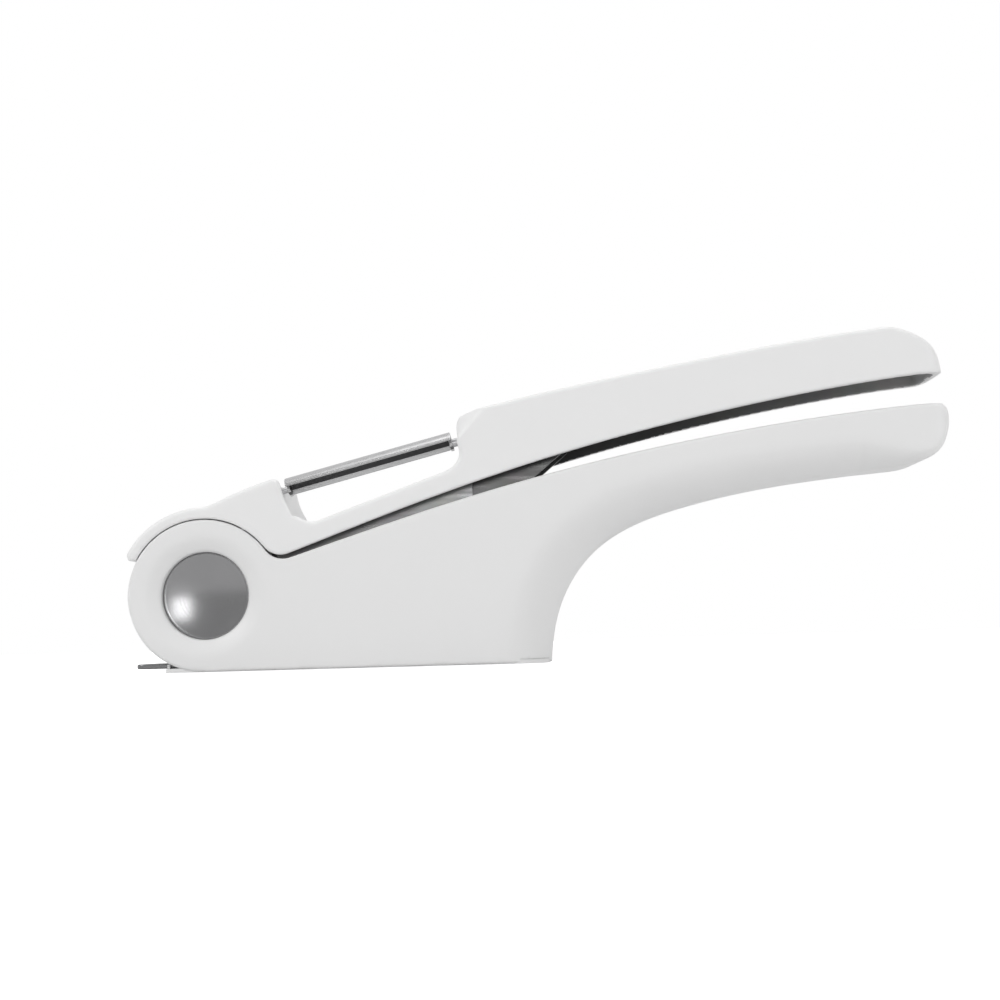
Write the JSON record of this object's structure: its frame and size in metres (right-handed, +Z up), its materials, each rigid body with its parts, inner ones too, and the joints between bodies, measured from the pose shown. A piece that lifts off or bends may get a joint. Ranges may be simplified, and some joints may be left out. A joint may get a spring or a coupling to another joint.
{
  "type": "garlic press",
  "caption": "Lever garlic press with a standing body, slide-out sieve, hinged plunger handle and a swivel peeler blade set in the handle.",
  "frame": {"origin": "on the resting surface, under the middle of the object's box", "axes": "+X towards the handle tips, +Y across the press along the hinge, +Z up"},
  "size_m": [0.1995, 0.0328, 0.0784],
  "materials": {
    "body_plastic": "satin moulded white",
    "lever_plastic": "satin moulded white",
    "sheet_steel": "pressed sheet, satin",
    "sieve_steel": "satin",
    "cap_steel": "dished, satin",
    "blade_steel": "ground",
    "pin_steel": "drawn",
    "screw_steel": "plated",
    "foot_aluminium": "cast, tumbled",
    "bush_plastic": "acetal"
  },
  "bodies": {
    "press_body": {"lower_body": "body_plastic", "lower_handle_cover": "body_plastic", "base_frame": "body_plastic", "frame_screws": "screw_steel", "press_chamber": "sheet_steel", "pivot_axle": "pin_steel", "pivot_cap_near": "cap_steel", "pivot_cap_far": "cap_steel"},
    "sieve": {"sieve_plate": "sieve_steel"},
    "lever": {"upper_handle": "lever_plastic", "press_arm": "sheet_steel", "press_foot": "foot_aluminium", "foot_rivets": "pin_steel", "arm_screws": "screw_steel", "axle_bush_near": "bush_plastic", "axle_bush_far": "bush_plastic", "peeler_bush_front": "bush_plastic", "peeler_bush_rear": "bush_plastic"},
    "peeler": {"peeler_blade": "blade_steel", "peeler_pin_front": "pin_steel", "peeler_pin_rear": "pin_steel"}
  },
  "joints": [
    {"name": "handle_hinge", "type": "hinge", "parent": "press_body", "child": "lever", "pos_m": [-0.0813, 0, 0.01805], "axis": [0, -1, 0], "range_deg": [-2.2, 72]},
    {"name": "sieve_slide", "type": "slide", "parent": "press_body", "child": "sieve", "axis": [-1, 0, 0], "range_m": [0, 0.06]},
    {"name": "peeler_swivel", "type": "hinge", "parent": "lever", "child": "peeler", "pos_m": [-0.06405, 0, 0.04388], "axis": [0.9693, 0, 0.2459], "range_deg": [-20, 40]}
  ]
}
